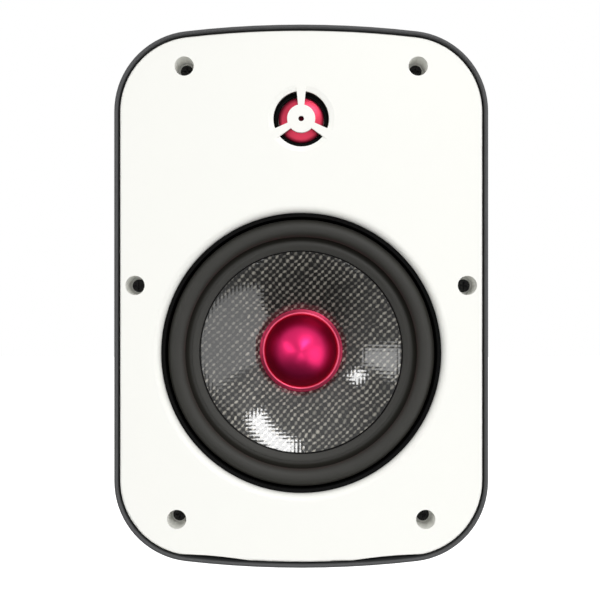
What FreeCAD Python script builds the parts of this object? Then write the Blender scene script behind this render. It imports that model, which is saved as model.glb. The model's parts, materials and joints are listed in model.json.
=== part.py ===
import FreeCAD, Part
import math
import os
from FreeCAD import Vector

# Two-way wall speaker without its grille, in millimetres.
# The front faces -Y, +Z is up, and the wall side is the plane y = 0.
# The origin lies midway between the two bracket inserts on the back.
# Depths in the front half are counted back from the baffle's face, and those at the back in from y = 0.

# Points nearer to each other than this are one point
SAME_POINT = 1e-6

# Woofer, front
WOOFER_OPENING_R = 71.9
WOOFER_OPENING_ROUND = 3.6
OPENING_GAP = 3.4
ROLL_R = 4.4
RUBBER_T = 1.0
SURROUND_INNER_W = 6.7
VALLEY_W = 3.0
VALLEY_T = 0.4
SURROUND_OUTER_W = 5.0
GASKET_W = 6.1
GASKET_T = 2.5
LINING_T = 1.8
LINING_H = 1.8
LINING_PLAY = 0.1
SEAT_PLAY = 0.4
WOOFER_SCREWS = 4
WOOFER_SCREW_TURN = 45.0

# Woofer, moving parts
CONE_DEPTH = 20.3
CONE_FLARE = 1.6
CONE_T = 0.9
CONE_EDGE_DROP = 0.8
BOND_GAP = 0.3
CAP_OVERHANG = 4.6
CAP_BEAD_R = 0.6
CAP_BEAD_H = 0.3
CAP_SKIRT_W = 1.4
CAP_SKIRT_FALL = 1.2
CAP_EDGE = 0.4
CAP_HEIGHT = 12.0
CAP_BULGE = 2.3
CAP_T = 0.8
FORMER_R = 17.6
FORMER_T = 0.4
FORMER_TOP = 2.4
COIL_T = 0.8
COIL_OVERHANG = 4.0

# Woofer, basket and magnet
BASKET_T = 1.2
BASKET_WINDOWS = 6
BASKET_SPOKE_DEG = 16.0
WINDOW_MARGIN = 3.0
NECK_TO_SHELF = 9.5
SHELF_TO_PLATE = 11.2
SPIDER_SPAN = 26.0
SPIDER_T = 0.5
SPIDER_WAVE = 1.3
SPIDER_FOLDS = 8
SHELF_W = 8.0
WALL_TO_BOTTOM = 2.0
MAGNET_GAP = 0.5
POLE_GAP = 0.5
PLATE_T = 6.0
PLATE_R = 42.0
MAGNET_T = 16.0
MAGNET_R = 45.0
MAGNET_HOLE_ROOM = 7.0
BACK_PLATE_T = 6.0
POLE_VENT_R = 5.0
TAG_STRIP_L = 24.0
TAG_STRIP_W = 4.0
TAG_STRIP_T = 1.5
TAG_W = 3.0
TAG_T = 0.8
TAG_H = 7.5
TAG_PITCH = 12.0

# Tweeter
TWEETER_OPENING_R = 14.2
TWEETER_FLARE = 2.8
TWEETER_FLARE_D = 0.6
TWEETER_FLANGE_R = 32.0
TWEETER_SCREWS = 3
TWEETER_SCREW_TURN = 30.0
TWEETER_SCREW_INSET = 4.0
GUARD_T = 1.8
HUB_R = 7.15
HUB_HOLE_R = 1.45
SPOKES = 3
SPOKE_TURN = 90.0
SPOKE_HUB_W = 3.2
SPOKE_RIM_W = 5.2
NOSE_GAP = 0.3
NOSE_WALL = 4.4
TWEETER_FLANGE_T = 2.0
TWEETER_GASKET_T = 0.8
DIAPHRAGM_D = 4.8
DIAPHRAGM_T = 0.4
DOME_R = 11.6
DOME_HEIGHT = 1.8
DOME_ROLL_R = 0.9
CLAMP_W = 3.0
TWEETER_COIL_T = 0.5
TWEETER_COIL_H = 4.3
TWEETER_GAP = 0.4
POLE_PLATE_D = 6.0
POLE_PLATE_T = 2.2
TWEETER_MAGNET_T = 5.0
TWEETER_MAGNET_INSET = 0.6
YOKE_FLOOR_T = 3.0

# Front panel
SIDE_ROOM = 15.0
DRIVER_GAP = 7.5
BOTTOM_ROOM = 28.9
TOP_ROOM = 15.6
CORNER_R = 41.0
BOW_R = 510.0
LIP = 1.9
LIP_GAP = 0.9
LIP_PROUD = 1.0
LIP_ROUND = 0.8
BAFFLE_T = 6.0
BAFFLE_ROUND = 1.0
SEAL_T = 1.5
RIB_GAP = 0.5
RIB_T = 2.0
RIB_H = 5.0
SCALLOP_X = 44.5
SCALLOP_W = 40.0
SCALLOP_DEPTH = 1.3

# Screw wells
WELL_R = 4.9
WELL_DRAFT = 0.3
WELL_DEPTH = 13.5
WELL_WALL = 1.5
WELL_FLOOR = 3.0
WELL_SIDE_INSET = 10.5
WELL_MID_RISE = 34.6
WELL_TOP_IN = 35.5
WELL_TOP_DOWN = 21.0
WELL_BOTTOM_IN = 31.7
WELL_BOTTOM_UP = 24.5
BOSS_GAP = 0.4
POST_R = 7.0

# Cabinet
DEPTH = 150.0
FRONT_BAND = 28.0
SIDE_TAPER = 29.0
END_TAPER = 36.0
BACK_CORNER_R = 32.0
BACK_BOW_R = 400.0
BACK_EDGE_R = 8.0
KNEE_R = 45.0
FRONT_WALL = 5.5
WALL = 3.5
BACK_WALL = 4.0

# Screws
SCREW_R = 1.6
SCREW_HOLE_R = 2.2
SCREW_HEAD_R = 3.3
SCREW_HEAD_H = 2.2
SCREW_BITE = 14.0
SHORT_BITE = 4.4
RECESS_W = 0.9
RECESS_L = 4.2
RECESS_DEPTH = 1.3
SMALL_SCREW_R = 1.2
SMALL_HOLE_R = 1.6
SMALL_HEAD_R = 2.6
SMALL_HEAD_H = 1.6
SMALL_BITE = 6.0

# Bracket inserts
INSERT_PITCH = 60.0
INSERT_R = 4.0
INSERT_BORE_R = 2.5
INSERT_L = 12.0
INSERT_BOSS_R = 7.5
INSERT_FLOOR = 2.5

# Terminal cup
TERMINAL_DROP = 66.0
CUP_W = 54.0
CUP_H = 30.0
CUP_WALL = 2.0
CUP_DEPTH = 21.0
CUP_CORNER_R = 4.0
CUP_FLANGE_W = 8.0
CUP_FLANGE_CORNER_R = 5.0
CUP_FLANGE_T = 2.6
CUP_PLAY = 0.4
CUP_GASKET_T = 1.0
CUP_SCREW_INSET = 4.2
CUP_PAD_RIM = 4.0
CUP_PAD_T = 11.0
HEAD_SINK = 1.8
LEVER_W = 18.0
LEVER_PITCH = 24.0
LEVER_T = 3.0
LEVER_L = 15.0
LEVER_FRONT = 10.5
LEVER_TIP_L = 5.0
LEVER_TIP_RISE = 2.0
BARREL_R = 2.6
PIN_R = 1.0
PIN_PLAY = 0.15
PIN_DROP = 7.0
PIN_SEAT = 1.2
WIRE_HOLE_R = 1.6
WIRE_HOLE_RISE = 4.0
SPRING_W = 5.0
SPRING_T = 0.5
SPRING_REACH = 8.0
SPRING_BEND = 4.0
SPRING_TAG = 8.0

# Crossover
BOARD_W = 92.0
BOARD_H = 44.0
BOARD_T = 1.6
BOARD_CLEAR = 8.0
BOARD_ROOM = 14.0
BOARD_SCREW_INSET = 4.0
STANDOFF_R = 3.6
BASS_COIL_X = -27.0
BASS_COIL_RISE = 0.0
BASS_COIL_R = 15.0
BASS_COIL_H = 16.0
TREBLE_COIL_X = 4.0
TREBLE_COIL_RISE = 6.0
TREBLE_COIL_R = 11.0
TREBLE_COIL_H = 12.0
BOBBIN_CORE_R = 4.0
BOBBIN_FLANGE_T = 1.6
WINDING_INSET = 1.4
CAN_X = 24.0
TREBLE_CAN_RISE = 11.0
TREBLE_CAN_R = 7.0
TREBLE_CAN_H = 24.0
BASS_CAN_RISE = -10.0
BASS_CAN_R = 8.0
BASS_CAN_H = 28.0
GROOVE_RISE = 2.1
GROOVE_W = 1.4
GROOVE_DEPTH = 0.7
RESISTOR_X = 3.0
RESISTOR_Z = -14.0
RESISTOR_W = 22.0
RESISTOR_H = 9.0

# Places that follow from the sizes
ROLL_OUT_R = WOOFER_OPENING_R - OPENING_GAP
ROLL_MID_R = ROLL_OUT_R - ROLL_R
ROLL_IN_R = ROLL_MID_R - ROLL_R
SURROUND_IN_R = ROLL_IN_R - SURROUND_INNER_W
SURROUND_R = ROLL_OUT_R + SURROUND_OUTER_W
GASKET_IN_R = SURROUND_R + SEAT_PLAY
BASKET_R = GASKET_IN_R + GASKET_W
BASKET_SCREW_R = BASKET_R - GASKET_W / 2
DRIVER_PITCH = BASKET_R + DRIVER_GAP + TWEETER_FLANGE_R
WIDTH = 2 * (BASKET_R + SIDE_ROOM)
HEIGHT = BOTTOM_ROOM + BASKET_R + DRIVER_PITCH + TWEETER_FLANGE_R + TOP_ROOM
WOOFER_Z = -HEIGHT / 2 + BOTTOM_ROOM + BASKET_R
TWEETER_Z = WOOFER_Z + DRIVER_PITCH
FACE_Y = LIP_PROUD - DEPTH
BAFFLE_INSET = LIP + LIP_GAP
LEDGE_D = BAFFLE_T + SEAL_T
POST_D = WELL_DEPTH + WELL_FLOOR
WELL_BOSS_R = WELL_R + WELL_WALL
BACK_WIDTH = WIDTH - 2 * SIDE_TAPER
BACK_HEIGHT = HEIGHT - 2 * END_TAPER
RIM_D = BAFFLE_T + GASKET_T
CONE_R = ROLL_IN_R - SEAT_PLAY
CONE_EDGE_D = RIM_D + CONE_EDGE_DROP
NECK_D = CONE_EDGE_D + CONE_DEPTH
SHELF_D = NECK_D + NECK_TO_SHELF
SHELF_IN_R = FORMER_R + SPIDER_SPAN
SHELF_R = SHELF_IN_R + SHELF_W
PLATE_D = SHELF_D + SHELF_TO_PLATE
MAGNET_D = PLATE_D + PLATE_T
BACK_PLATE_D = MAGNET_D + MAGNET_T
COIL_R = FORMER_R + COIL_T
POLE_R = FORMER_R - FORMER_T - POLE_GAP
COIL_END_D = MAGNET_D + COIL_OVERHANG
MAGNET_HOLE_R = COIL_R + MAGNET_HOLE_ROOM
CAP_R = FORMER_R + CAP_OVERHANG
NOSE_R = TWEETER_OPENING_R + CLAMP_W + NOSE_WALL
NOSE_D = GUARD_T + NOSE_GAP
TWEETER_FLANGE_D = BAFFLE_T + TWEETER_GASKET_T
TWEETER_SCREW_R = TWEETER_FLANGE_R - TWEETER_SCREW_INSET
CLAMP_R = TWEETER_OPENING_R + CLAMP_W
DIAPHRAGM_BACK_D = DIAPHRAGM_D + DIAPHRAGM_T
TWEETER_COIL_IN_R = DOME_R - TWEETER_COIL_T
POLE_PLATE_R = TWEETER_COIL_IN_R - TWEETER_GAP
YOKE_IN_R = DOME_R + TWEETER_GAP
YOKE_FLOOR_D = POLE_PLATE_D + POLE_PLATE_T + TWEETER_MAGNET_T
TERMINAL_Z = -TERMINAL_DROP
CUP_OUT_W = CUP_W + 2 * CUP_WALL
CUP_OUT_H = CUP_H + 2 * CUP_WALL
CUP_SEAT = CUP_FLANGE_T + CUP_GASKET_T
PIN_Z = TERMINAL_Z + CUP_H / 2 - PIN_DROP
PIN_IN = LEVER_FRONT + BARREL_R
BOARD_Z = INSERT_PITCH / 2 + BOARD_ROOM + BOARD_H / 2
BOARD_IN = BACK_WALL + BOARD_CLEAR
BOARD_TOP = BOARD_IN + BOARD_T
COILS = [
    (BASS_COIL_X, BASS_COIL_RISE, BASS_COIL_R, BASS_COIL_H),
    (TREBLE_COIL_X, TREBLE_COIL_RISE, TREBLE_COIL_R, TREBLE_COIL_H),
]
CANS = [
    (CAN_X, TREBLE_CAN_RISE, TREBLE_CAN_R, TREBLE_CAN_H),
    (CAN_X, BASS_CAN_RISE, BASS_CAN_R, BASS_CAN_H),
]
WELLS = []
for side in (-1, 1):
    WELLS.append((side * (WIDTH / 2 - WELL_TOP_IN), HEIGHT / 2 - WELL_TOP_DOWN))
    WELLS.append((side * (WIDTH / 2 - WELL_SIDE_INSET), WOOFER_Z + WELL_MID_RISE))
    WELLS.append((side * (WIDTH / 2 - WELL_BOTTOM_IN), -HEIGHT / 2 + WELL_BOTTOM_UP))


# Helpers

def at(depth):
    """Y of the plane this far behind the baffle's face."""
    return FACE_Y + depth


def rod(x, z, radius, start, end):
    """Cylinder along Y between two Y values."""
    low = min(start, end)
    return Part.makeCylinder(radius, abs(end - start), Vector(x, low, z), Vector(0, 1, 0))


def tube(x, z, outer_r, inner_r, start, end):
    return rod(x, z, outer_r, start, end).cut(rod(x, z, inner_r, start, end))


def around(count, radius, middle_z, first_deg):
    """Evenly spaced places on a circle in the plane of the front, as x and z."""
    for index in range(count):
        angle = math.radians(first_deg + 360.0 * index / count)
        yield radius * math.cos(angle), middle_z + radius * math.sin(angle)


def arc(middle, end):
    """Step of a section: an arc through middle to end."""
    return ("arc", middle, end)


def ogive(middle, end):
    """Step of a section: an arc whose centre lies across the axis, drawn as a spline."""
    return ("ogive", middle, end)


def section(path):
    """Closed face in the plane z = 0 from corners and arcs, each point a radius and a Y."""
    edges = []
    start = here = Vector(path[0][0], path[0][1], 0)
    for step in path[1:]:
        if step[0] in ("arc", "ogive"):
            middle = Vector(step[1][0], step[1][1], 0)
            there = Vector(step[2][0], step[2][1], 0)
            curve = Part.Arc(here, middle, there)
            if step[0] == "ogive":
                curve = curve.toBSpline()
            edges.append(curve.toShape())
        else:
            there = Vector(step[0], step[1], 0)
            edges.append(Part.makeLine(here, there))
        here = there
    if here.distanceToPoint(start) > SAME_POINT:
        edges.append(Part.makeLine(here, start))
    return Part.Face(Part.Wire(edges))


def turned(path, middle_z):
    """Solid of revolution about the axis along Y at this height. Points are a radius and a depth."""
    placed = []
    for step in path:
        if step[0] in ("arc", "ogive"):
            placed.append((step[0], (step[1][0], at(step[1][1])), (step[2][0], at(step[2][1]))))
        else:
            placed.append((step[0], at(step[1])))
    solid = section(placed).revolve(Vector(0, 0, 0), Vector(0, 1, 0), 360)
    solid.translate(Vector(0, 0, middle_z))
    return solid


def thickened(points, thickness):
    """Corners of a sheet whose front side follows the points, with the thickness added behind."""
    normals = []
    for (r0, d0), (r1, d1) in zip(points, points[1:]):
        length = math.hypot(r1 - r0, d1 - d0)
        normals.append(((d1 - d0) / length, (r0 - r1) / length))
    behind = []
    for index, (r, d) in enumerate(points):
        before = normals[max(index - 1, 0)]
        after = normals[min(index, len(normals) - 1)]
        scale = thickness / (1 + before[0] * after[0] + before[1] * after[1])
        behind.append((r + scale * (before[0] + after[0]), d + scale * (before[1] + after[1])))
    return list(points) + behind[::-1]


def outline(width, height, corner_r, bow_r, y):
    """Closed wire: straight sides, round corners, and a top and bottom that bow outward."""
    bow_z = height / 2 - bow_r
    corner_x = width / 2 - corner_r
    rise = math.sqrt((bow_r - corner_r) ** 2 - corner_x ** 2)
    turn = math.atan2(rise, corner_x)

    def on_corner(angle, side, end):
        x = corner_x + corner_r * math.cos(angle)
        z = bow_z + rise + corner_r * math.sin(angle)
        return Vector(side * x, y, end * z)

    edges = []
    for side, end in ((1, 1), (-1, 1), (-1, -1), (1, -1)):
        low = on_corner(0, side, end)
        middle = on_corner(turn / 2, side, end)
        high = on_corner(turn, side, end)
        edges.append(Part.Arc(low, middle, high).toShape())
        if side == end:
            across = on_corner(turn, -side, end)
            edges.append(Part.Arc(high, Vector(0, y, end * height / 2), across).toShape())
        else:
            edges.append(Part.makeLine(low, on_corner(0, side, -end)))
    return Part.Wire(Part.__sortEdges__(edges))


def front_outline(inset, y):
    return outline(WIDTH - 2 * inset, HEIGHT - 2 * inset, CORNER_R - inset, BOW_R - inset, y)


def back_outline(inset, y):
    return outline(
        BACK_WIDTH - 2 * inset, BACK_HEIGHT - 2 * inset, BACK_CORNER_R - inset, BACK_BOW_R - inset, y
    )


def slab(wire, thickness):
    """Wire in a plane across Y, filled and made thick towards the back."""
    return Part.Face(wire).extrude(Vector(0, thickness, 0))


def round_rect(x, z, width, height, corner_r, start, end):
    """Block with rounded corners, between two Y values."""
    low = min(start, end)
    block = Part.makeBox(width, abs(end - start), height, Vector(x - width / 2, low, z - height / 2))
    upright = [e for e in block.Edges if abs(e.tangentAt(e.FirstParameter).y) > 0.5]
    return block.makeFillet(corner_r, upright)


def edges_in_plane(shape, y):
    """Edges that lie wholly in the plane at this Y."""
    return [e for e in shape.Edges if abs(e.BoundBox.YMin - y) < 1e-3 and abs(e.BoundBox.YMax - y) < 1e-3]


def screw(x, z, head_r, head_h, shank_r, seat, bite, way):
    """Pan-head screw whose head stands on the plane at seat. way is 1 where it drives towards +Y."""
    head = rod(x, z, head_r, seat - way * head_h, seat)
    shank = rod(x, z, shank_r, seat, seat + way * bite)
    top = seat - way * head_h
    cross = []
    for wide, tall in ((RECESS_L, RECESS_W), (RECESS_W, RECESS_L)):
        low = min(top, top + way * RECESS_DEPTH)
        corner = Vector(x - wide / 2, low, z - tall / 2)
        cross.append(Part.makeBox(wide, RECESS_DEPTH, tall, corner))
    return head.fuse(shank).cut(cross)


# Cabinet and front panel

def cabinet():
    band_end = FRONT_BAND - DEPTH
    band = slab(front_outline(0, -DEPTH), FRONT_BAND)
    tail = Part.makeLoft([front_outline(0, band_end), back_outline(0, 0)], True, True)
    outer = band.fuse(tail).removeSplitter()
    outer = outer.makeFillet(KNEE_R, edges_in_plane(outer, band_end))
    outer = outer.makeFillet(BACK_EDGE_R, edges_in_plane(outer, 0))

    mouth = slab(front_outline(LIP, -DEPTH), at(LEDGE_D) + DEPTH)
    hollow_band = slab(front_outline(FRONT_WALL, -DEPTH), FRONT_BAND)
    hollow_tail = Part.makeLoft(
        [front_outline(FRONT_WALL, band_end), back_outline(WALL, -BACK_WALL)], True, True
    )
    hollow_tail = hollow_tail.makeFillet(BACK_EDGE_R - WALL, edges_in_plane(hollow_tail, -BACK_WALL))
    shell = outer.cut([mouth, hollow_band, hollow_tail])
    shell = shell.makeFillet(LIP_ROUND, edges_in_plane(shell, -DEPTH))

    added = []
    cuts = []
    for x, z in WELLS:
        post = rod(x, z, POST_R, at(POST_D), -BACK_WALL)
        added.append(post.common(outer))
        cuts.append(rod(x, z, WELL_BOSS_R + BOSS_GAP, at(LEDGE_D), at(POST_D)))
        cuts.append(rod(x, z, SCREW_R, at(POST_D), at(WELL_DEPTH + SCREW_BITE)))
    for end in (-1, 1):
        z = end * INSERT_PITCH / 2
        added.append(rod(0, z, INSERT_BOSS_R, -INSERT_L - INSERT_FLOOR, -BACK_WALL))
        cuts.append(rod(0, z, INSERT_R, -INSERT_L, 0))
    for x, z in board_screw_places():
        added.append(rod(x, z, STANDOFF_R, -BOARD_IN, -BACK_WALL))
        cuts.append(rod(x, z, SMALL_SCREW_R, -BOARD_TOP, SMALL_BITE - BOARD_TOP))
    added.append(cup_flange(CUP_PAD_RIM, BACK_WALL, CUP_PAD_T).common(outer))
    cuts.append(cup_flange(CUP_PLAY, 0, CUP_SEAT))
    cuts.append(cup_body(CUP_PLAY, 0, CUP_PAD_T))
    for x, z in cup_screw_places():
        cuts.append(rod(x, z, SMALL_SCREW_R, -CUP_SEAT, -HEAD_SINK - SMALL_BITE))
    return shell.fuse(added).cut(cuts).removeSplitter()


def front_baffle():
    plate = slab(front_outline(BAFFLE_INSET, FACE_Y), BAFFLE_T)
    plate = plate.makeFillet(BAFFLE_ROUND, edges_in_plane(plate, FACE_Y))
    rib = slab(front_outline(FRONT_WALL + RIB_GAP, at(BAFFLE_T)), RIB_H)
    rib = rib.cut(slab(front_outline(FRONT_WALL + RIB_GAP + RIB_T, at(BAFFLE_T)), RIB_H))
    bosses = [rod(x, z, WELL_BOSS_R, at(BAFFLE_T), at(POST_D)) for x, z in WELLS]
    solid = plate.fuse([rib] + bosses)

    cuts = [woofer_mouth(), tweeter_mouth()]
    for x, z in WELLS:
        well = Part.makeCone(
            WELL_R, WELL_R - WELL_DRAFT, WELL_DEPTH, Vector(x, FACE_Y, z), Vector(0, 1, 0)
        )
        cuts.append(well)
        cuts.append(rod(x, z, SCREW_HOLE_R, at(WELL_DEPTH), at(POST_D)))
    for x, z in woofer_screw_places():
        cuts.append(rod(x, z, SCREW_R, at(BAFFLE_T - SHORT_BITE), at(BAFFLE_T)))
    for x, z in tweeter_screw_places():
        cuts.append(rod(x, z, SMALL_SCREW_R, at(BAFFLE_T - SHORT_BITE), at(BAFFLE_T)))
    cuts += scallops()
    return solid.cut(cuts).fuse(tweeter_guard()).removeSplitter()


def woofer_mouth():
    """What is cut away for the woofer: a round opening with a soft front edge."""
    outer_r = WOOFER_OPENING_R + WOOFER_OPENING_ROUND
    slant = WOOFER_OPENING_ROUND * (1 - math.sqrt(0.5))
    path = [(0, 0), (outer_r, 0)]
    path.append(arc((WOOFER_OPENING_R + slant, slant), (WOOFER_OPENING_R, WOOFER_OPENING_ROUND)))
    path += [(WOOFER_OPENING_R, BAFFLE_T), (0, BAFFLE_T)]
    return turned(path, WOOFER_Z)


def tweeter_mouth():
    """What is cut away for the tweeter: a flared opening, and a pocket for its nose behind."""
    pocket_r = NOSE_R + NOSE_GAP
    path = [(0, 0), (TWEETER_OPENING_R + TWEETER_FLARE, 0), (TWEETER_OPENING_R, TWEETER_FLARE_D)]
    path += [(TWEETER_OPENING_R, GUARD_T), (pocket_r, GUARD_T), (pocket_r, BAFFLE_T), (0, BAFFLE_T)]
    return turned(path, TWEETER_Z)


def tweeter_guard():
    """Hub in front of the dome, carried by spokes that widen towards the panel."""
    guard = rod(0, TWEETER_Z, HUB_R, FACE_Y, at(GUARD_T))
    rim_r = TWEETER_OPENING_R + TWEETER_FLARE
    for index in range(SPOKES):
        turn = SPOKE_TURN + 360.0 * index / SPOKES
        corners = [
            Vector(0, FACE_Y, SPOKE_HUB_W / 2),
            Vector(HUB_R, FACE_Y, SPOKE_HUB_W / 2),
            Vector(rim_r, FACE_Y, SPOKE_RIM_W / 2),
            Vector(rim_r, FACE_Y, -SPOKE_RIM_W / 2),
            Vector(HUB_R, FACE_Y, -SPOKE_HUB_W / 2),
            Vector(0, FACE_Y, -SPOKE_HUB_W / 2),
        ]
        spoke = slab(Part.makePolygon(corners + corners[:1]), GUARD_T)
        spoke.rotate(Vector(0, 0, 0), Vector(0, 1, 0), -turn)
        spoke.translate(Vector(0, 0, TWEETER_Z))
        guard = guard.fuse(spoke)
    return guard.cut(rod(0, TWEETER_Z, HUB_HOLE_R, FACE_Y, at(GUARD_T)))


def scallops():
    """Two long shallow reliefs in the panel's bottom edge, each set square to the bow."""
    edge_r = BOW_R - BAFFLE_INSET
    floor_r = edge_r - SCALLOP_DEPTH
    across = edge_r * math.sin(SCALLOP_W / 2 / edge_r)
    along = edge_r * math.cos(SCALLOP_W / 2 / edge_r) - floor_r
    radius = (across ** 2 + along ** 2) / (2 * along)
    middle_r = floor_r + radius
    x = SCALLOP_X * middle_r / edge_r
    z = BOW_R - HEIGHT / 2 - math.sqrt(middle_r ** 2 - x ** 2)
    return [rod(side * x, z, radius, FACE_Y, at(BAFFLE_T)) for side in (-1, 1)]


def baffle_seal():
    ring = slab(front_outline(BAFFLE_INSET, at(BAFFLE_T)), SEAL_T)
    ring = ring.cut(slab(front_outline(FRONT_WALL, at(BAFFLE_T)), SEAL_T))
    reliefs = [rod(x, z, WELL_BOSS_R + BOSS_GAP, at(BAFFLE_T), at(LEDGE_D)) for x, z in WELLS]
    return ring.cut(reliefs)


def baffle_screws():
    return Part.makeCompound([
        screw(x, z, SCREW_HEAD_R, SCREW_HEAD_H, SCREW_R, at(WELL_DEPTH), SCREW_BITE, 1) for x, z in WELLS
    ])


def bracket_inserts():
    ends = (-INSERT_PITCH / 2, INSERT_PITCH / 2)
    return Part.makeCompound([tube(0, z, INSERT_R, INSERT_BORE_R, -INSERT_L, 0) for z in ends])


# Woofer

def woofer_screw_places():
    return list(around(WOOFER_SCREWS, BASKET_SCREW_R, WOOFER_Z, WOOFER_SCREW_TURN))


def cone_circle():
    """Centre and radius of the arc that the front of the cone follows, with its flare towards the front."""
    span_r = CONE_R - FORMER_R
    chord = math.hypot(span_r, CONE_DEPTH)
    radius = (chord ** 2 / 4 + CONE_FLARE ** 2) / (2 * CONE_FLARE)
    reach = (radius - CONE_FLARE) / chord
    middle_r = (CONE_R + FORMER_R) / 2 + reach * CONE_DEPTH
    middle_d = CONE_EDGE_D + CONE_DEPTH / 2 + reach * span_r
    return middle_r, middle_d, radius


def above_cone(r, height):
    """Point at radius r on the surface that lies this far in front of the cone."""
    middle_r, middle_d, radius = cone_circle()
    return (r, middle_d - math.sqrt((radius + height) ** 2 - (r - middle_r) ** 2))


def woofer_cone():
    middle_r = (CONE_R + FORMER_R) / 2
    path = [above_cone(CONE_R, 0), arc(above_cone(middle_r, 0), above_cone(FORMER_R, 0))]
    path += [above_cone(FORMER_R, -CONE_T)]
    path.append(arc(above_cone(middle_r, -CONE_T), above_cone(CONE_R, -CONE_T)))
    return turned(path, WOOFER_Z)


def woofer_surround():
    """One half roll, a flat outer edge on the basket and an inner edge laid over the cone, past a valley."""
    back_d = RIM_D
    front_d = RIM_D - RUBBER_T
    root_d = RIM_D - RUBBER_T / 2
    outer_roll = ROLL_R + RUBBER_T / 2
    inner_roll = ROLL_R - RUBBER_T / 2
    foot = math.sqrt(outer_roll ** 2 - (RUBBER_T / 2) ** 2)
    valley_r = ROLL_MID_R - foot
    land_r = valley_r - VALLEY_W
    middle_r = (land_r + SURROUND_IN_R) / 2
    top = BOND_GAP + RUBBER_T
    path = [(SURROUND_R, front_d), (ROLL_MID_R + foot, front_d)]
    path.append(arc((ROLL_MID_R, root_d - outer_roll), (valley_r, front_d)))
    path.append(arc(above_cone(valley_r - VALLEY_W / 2, BOND_GAP + VALLEY_T), above_cone(land_r, top)))
    path.append(arc(above_cone(middle_r, top), above_cone(SURROUND_IN_R, top)))
    path.append(above_cone(SURROUND_IN_R, BOND_GAP))
    path.append(arc(above_cone(middle_r, BOND_GAP), above_cone(ROLL_MID_R - inner_roll, BOND_GAP)))
    path.append((ROLL_MID_R - inner_roll, root_d))
    path.append(arc((ROLL_MID_R, root_d - inner_roll), (ROLL_MID_R + inner_roll, root_d)))
    path += [(ROLL_MID_R + inner_roll, back_d), (SURROUND_R, back_d)]
    return turned(path, WOOFER_Z)


def dust_cap():
    """Spun metal cap: a sloping skirt, a narrow bead, and an ogive that ends in a point."""
    skirt_r = CAP_R - CAP_SKIRT_W
    edge_d = above_cone(CAP_R, 0)[1] - CAP_EDGE
    bead_d = edge_d - CAP_SKIRT_FALL
    bead_r = skirt_r - CAP_BEAD_R
    foot_r = bead_r - CAP_BEAD_R
    tip_d = bead_d - CAP_HEIGHT
    chord = math.hypot(foot_r, CAP_HEIGHT)
    out_r = CAP_HEIGHT / chord
    out_d = -foot_r / chord
    radius = (chord ** 2 / 4 + CAP_BULGE ** 2) / (2 * CAP_BULGE)
    middle_r = foot_r / 2 - (radius - CAP_BULGE) * out_r
    middle_d = bead_d - CAP_HEIGHT / 2 - (radius - CAP_BULGE) * out_d
    inner = radius - CAP_T

    def inside(r):
        return (r, middle_d - math.sqrt(inner ** 2 - (r - middle_r) ** 2))

    rim_in_r = foot_r - CAP_T
    path = [(0, tip_d)]
    flank = (foot_r / 2 + CAP_BULGE * out_r, bead_d - CAP_HEIGHT / 2 + CAP_BULGE * out_d)
    path.append(ogive(flank, (foot_r, bead_d)))
    path.append(arc((bead_r, bead_d - CAP_BEAD_H), (skirt_r, bead_d)))
    path += [(CAP_R, edge_d), above_cone(CAP_R, 0)]
    path.append(arc(above_cone(bead_r, 0), above_cone(rim_in_r, 0)))
    path += [inside(rim_in_r), ogive(inside(rim_in_r / 2), inside(0))]
    return turned(path, WOOFER_Z)


def voice_coil_former():
    start = at(NECK_D - FORMER_TOP)
    return tube(0, WOOFER_Z, FORMER_R, FORMER_R - FORMER_T, start, at(COIL_END_D))


def voice_coil():
    return tube(0, WOOFER_Z, COIL_R, FORMER_R, at(PLATE_D - COIL_OVERHANG), at(COIL_END_D))


def woofer_spider():
    """Corrugated cloth disc between the basket's shelf and the former."""
    front = SHELF_D - SPIDER_T
    inner_r = FORMER_R + BOND_GAP
    fold_w = (SHELF_IN_R - inner_r) / (SPIDER_FOLDS + 1)
    front_side = [(SHELF_R - SEAT_PLAY, front), (SHELF_IN_R, front)]
    for index in range(SPIDER_FOLDS):
        swing = SPIDER_WAVE if index % 2 else -SPIDER_WAVE
        front_side.append((SHELF_IN_R - (index + 0.5) * fold_w, front + swing))
    front_side += [(inner_r + fold_w / 2, front), (inner_r, front)]
    return turned(thickened(front_side, SPIDER_T), WOOFER_Z)


def woofer_basket():
    """Pressed steel frame with windows between its arms."""
    rim_in_r = ROLL_OUT_R + SEAT_PLAY
    bottom_r = SHELF_IN_R - WALL_TO_BOTTOM
    bottom_d = PLATE_D - BASKET_T
    front_side = [
        (BASKET_R, RIM_D),
        (rim_in_r, RIM_D),
        (SHELF_R, SHELF_D),
        (SHELF_IN_R, SHELF_D),
        (bottom_r, bottom_d),
        (MAGNET_HOLE_R, bottom_d),
    ]
    frame = turned(thickened(front_side, BASKET_T), WOOFER_Z)
    cuts = [rod(x, z, SCREW_HOLE_R, at(RIM_D), at(RIM_D + BASKET_T)) for x, z in woofer_screw_places()]
    low_r = SHELF_R + WINDOW_MARGIN
    high_r = rim_in_r - WINDOW_MARGIN
    span = 360.0 / BASKET_WINDOWS - BASKET_SPOKE_DEG
    for index in range(BASKET_WINDOWS):
        sector = [(low_r, at(RIM_D)), (high_r, at(RIM_D)), (high_r, at(SHELF_D)), (low_r, at(SHELF_D))]
        window = section(sector).revolve(Vector(0, 0, 0), Vector(0, 1, 0), span)
        window.rotate(Vector(0, 0, 0), Vector(0, 1, 0), 360.0 * index / BASKET_WINDOWS - span / 2)
        window.translate(Vector(0, 0, WOOFER_Z))
        cuts.append(window)
    return frame.cut(cuts)


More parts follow.
